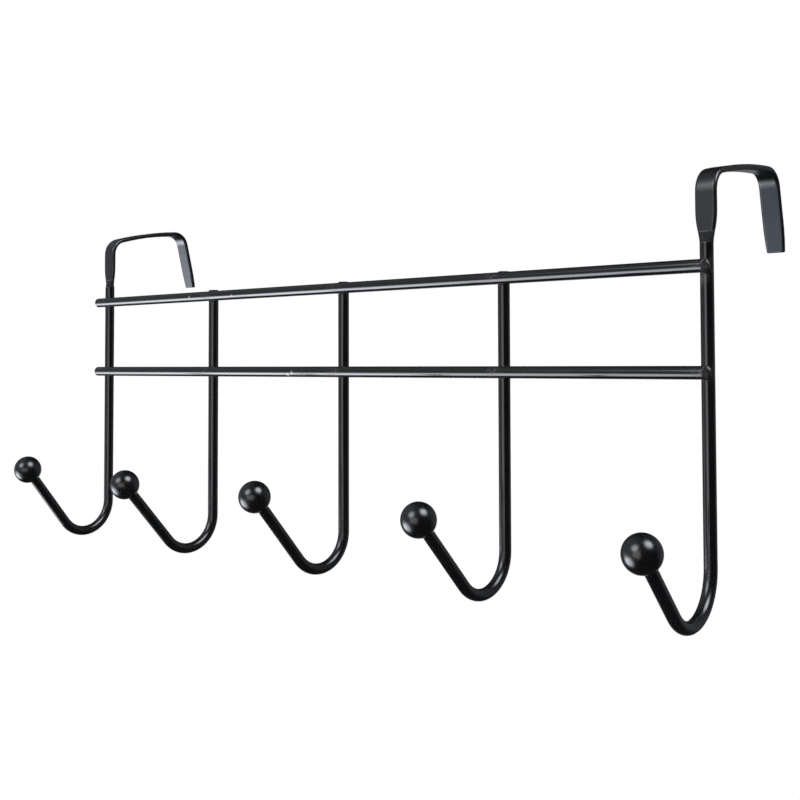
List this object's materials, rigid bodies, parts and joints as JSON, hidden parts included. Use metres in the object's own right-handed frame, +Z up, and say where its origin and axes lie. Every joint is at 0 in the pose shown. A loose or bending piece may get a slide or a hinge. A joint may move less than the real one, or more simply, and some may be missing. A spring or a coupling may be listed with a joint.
{
  "type": "over door hook rack",
  "caption": "Black welded wire rack that hangs over a door by flat straps, with a row of J hooks tipped with balls for coats and bags.",
  "frame": {"origin": "front edge of the door's top, midway between the two straps, with the door's face at Y = 0", "axes": "+X along the rails to the right, +Y back through the door, +Z up"},
  "size_m": [0.391, 0.1197, 0.1734],
  "materials": {
    "wire": "semi-gloss black paint over steel wire",
    "ball": "semi-gloss black paint over a steel ball"
  },
  "bodies": {
    "root": {"upper_rail": "wire", "lower_rail": "wire", "left_hanger": "wire", "left_hook": "wire", "centre_hook": "wire", "right_hook": "wire", "right_hanger": "wire", "left_hanger_ball": "ball", "left_hook_ball": "ball", "centre_hook_ball": "ball", "right_hook_ball": "ball", "right_hanger_ball": "ball"}
  },
  "joints": []
}
